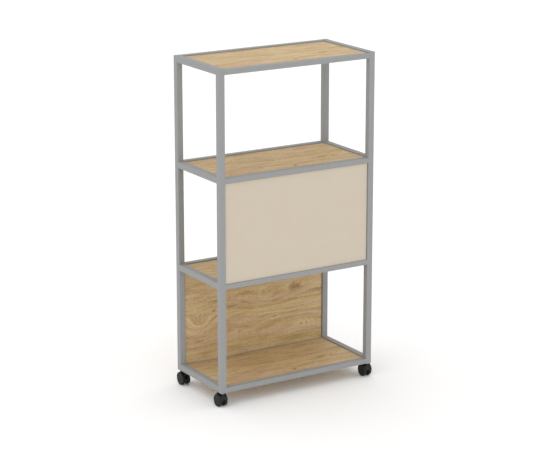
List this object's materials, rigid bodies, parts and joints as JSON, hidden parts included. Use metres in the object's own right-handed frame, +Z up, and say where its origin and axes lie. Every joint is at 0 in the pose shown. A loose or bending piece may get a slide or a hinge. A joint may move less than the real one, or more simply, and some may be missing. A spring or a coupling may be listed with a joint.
{
  "type": "mobile bookcase",
  "caption": "Tall rolling bookcase: square-tube steel frame, wood-grain boards, a plain front panel, a wood-grain back panel and swivelling twin-wheel casters.",
  "frame": {"origin": "on the floor, under the middle of the bookcase: the bottom centre of its bounding box", "axes": "+Z up, +X along the long side to the right as seen from the front, +Y towards the rear; the front, with the beige panel, faces -Y"},
  "size_m": [0.711, 0.347, 1.328],
  "materials": {
    "frame_paint": "fine-textured satin powder coat, mid grey",
    "oak_laminate": "matt oak-grain melamine on chipboard",
    "beige_laminate": "matt plain beige melamine on chipboard",
    "plated_steel": "zinc-plated steel",
    "black_nylon": "moulded black nylon, satin"
  },
  "bodies": {
    "frame": {"front_left_post": "frame_paint", "front_right_post": "frame_paint", "rear_left_post": "frame_paint", "rear_right_post": "frame_paint", "front_left_post_cap": "frame_paint", "front_right_post_cap": "frame_paint", "rear_left_post_cap": "frame_paint", "rear_right_post_cap": "frame_paint", "front_bottom_rail": "frame_paint", "front_lower_rail": "frame_paint", "front_upper_rail": "frame_paint", "front_top_rail": "frame_paint", "rear_bottom_rail": "frame_paint", "rear_lower_rail": "frame_paint", "rear_upper_rail": "frame_paint", "rear_top_rail": "frame_paint", "left_bottom_rail": "frame_paint", "left_lower_rail": "frame_paint", "left_upper_rail": "frame_paint", "left_top_rail": "frame_paint", "right_bottom_rail": "frame_paint", "right_lower_rail": "frame_paint", "right_upper_rail": "frame_paint", "right_top_rail": "frame_paint", "bottom_board": "oak_laminate", "lower_board": "oak_laminate", "upper_board": "oak_laminate", "top_board": "oak_laminate", "front_panel": "beige_laminate", "back_panel": "oak_laminate", "front_left_stem_socket": "plated_steel", "front_right_stem_socket": "plated_steel", "rear_left_stem_socket": "plated_steel", "rear_right_stem_socket": "plated_steel", "front_left_caster_stem": "plated_steel", "front_right_caster_stem": "plated_steel", "rear_left_caster_stem": "plated_steel", "rear_right_caster_stem": "plated_steel", "front_left_caster_washer": "plated_steel", "front_right_caster_washer": "plated_steel", "rear_left_caster_washer": "plated_steel", "rear_right_caster_washer": "plated_steel"},
    "front_left_caster": {"front_left_caster_hood": "black_nylon", "front_left_caster_axle": "plated_steel"},
    "front_right_caster": {"front_right_caster_hood": "black_nylon", "front_right_caster_axle": "plated_steel"},
    "rear_left_caster": {"rear_left_caster_hood": "black_nylon", "rear_left_caster_axle": "plated_steel"},
    "rear_right_caster": {"rear_right_caster_hood": "black_nylon", "rear_right_caster_axle": "plated_steel"},
    "front_left_caster_wheel_l": {"front_left_caster_left_wheel": "black_nylon"},
    "front_left_caster_wheel_r": {"front_left_caster_right_wheel": "black_nylon"},
    "front_right_caster_wheel_l": {"front_right_caster_left_wheel": "black_nylon"},
    "front_right_caster_wheel_r": {"front_right_caster_right_wheel": "black_nylon"},
    "rear_left_caster_wheel_l": {"rear_left_caster_left_wheel": "black_nylon"},
    "rear_left_caster_wheel_r": {"rear_left_caster_right_wheel": "black_nylon"},
    "rear_right_caster_wheel_l": {"rear_right_caster_left_wheel": "black_nylon"},
    "rear_right_caster_wheel_r": {"rear_right_caster_right_wheel": "black_nylon"}
  },
  "joints": [
    {"name": "front_left_swivel", "type": "hinge", "parent": "frame", "child": "front_left_caster", "pos_m": [-0.3375, -0.16, 0.0537], "axis": [0, 0, 1], "continuous": true},
    {"name": "front_right_swivel", "type": "hinge", "parent": "frame", "child": "front_right_caster", "pos_m": [0.3375, -0.16, 0.0537], "axis": [0, 0, 1], "continuous": true},
    {"name": "rear_left_swivel", "type": "hinge", "parent": "frame", "child": "rear_left_caster", "pos_m": [-0.3375, 0.16, 0.0537], "axis": [0, 0, 1], "continuous": true},
    {"name": "rear_right_swivel", "type": "hinge", "parent": "frame", "child": "rear_right_caster", "pos_m": [0.3375, 0.16, 0.0537], "axis": [0, 0, 1], "continuous": true},
    {"name": "front_left_wheel_l_roll", "type": "hinge", "parent": "front_left_caster", "child": "front_left_caster_wheel_l", "pos_m": [-0.34975, -0.146, 0.025], "axis": [1, 0, 0], "continuous": true},
    {"name": "front_left_wheel_r_roll", "type": "hinge", "parent": "front_left_caster", "child": "front_left_caster_wheel_r", "pos_m": [-0.32525, -0.146, 0.025], "axis": [1, 0, 0], "continuous": true},
    {"name": "front_right_wheel_l_roll", "type": "hinge", "parent": "front_right_caster", "child": "front_right_caster_wheel_l", "pos_m": [0.32525, -0.146, 0.025], "axis": [1, 0, 0], "continuous": true},
    {"name": "front_right_wheel_r_roll", "type": "hinge", "parent": "front_right_caster", "child": "front_right_caster_wheel_r", "pos_m": [0.34975, -0.146, 0.025], "axis": [1, 0, 0], "continuous": true},
    {"name": "rear_left_wheel_l_roll", "type": "hinge", "parent": "rear_left_caster", "child": "rear_left_caster_wheel_l", "pos_m": [-0.34975, 0.146, 0.025], "axis": [1, 0, 0], "continuous": true},
    {"name": "rear_left_wheel_r_roll", "type": "hinge", "parent": "rear_left_caster", "child": "rear_left_caster_wheel_r", "pos_m": [-0.32525, 0.146, 0.025], "axis": [1, 0, 0], "continuous": true},
    {"name": "rear_right_wheel_l_roll", "type": "hinge", "parent": "rear_right_caster", "child": "rear_right_caster_wheel_l", "pos_m": [0.32525, 0.146, 0.025], "axis": [1, 0, 0], "continuous": true},
    {"name": "rear_right_wheel_r_roll", "type": "hinge", "parent": "rear_right_caster", "child": "rear_right_caster_wheel_r", "pos_m": [0.34975, 0.146, 0.025], "axis": [1, 0, 0], "continuous": true}
  ]
}
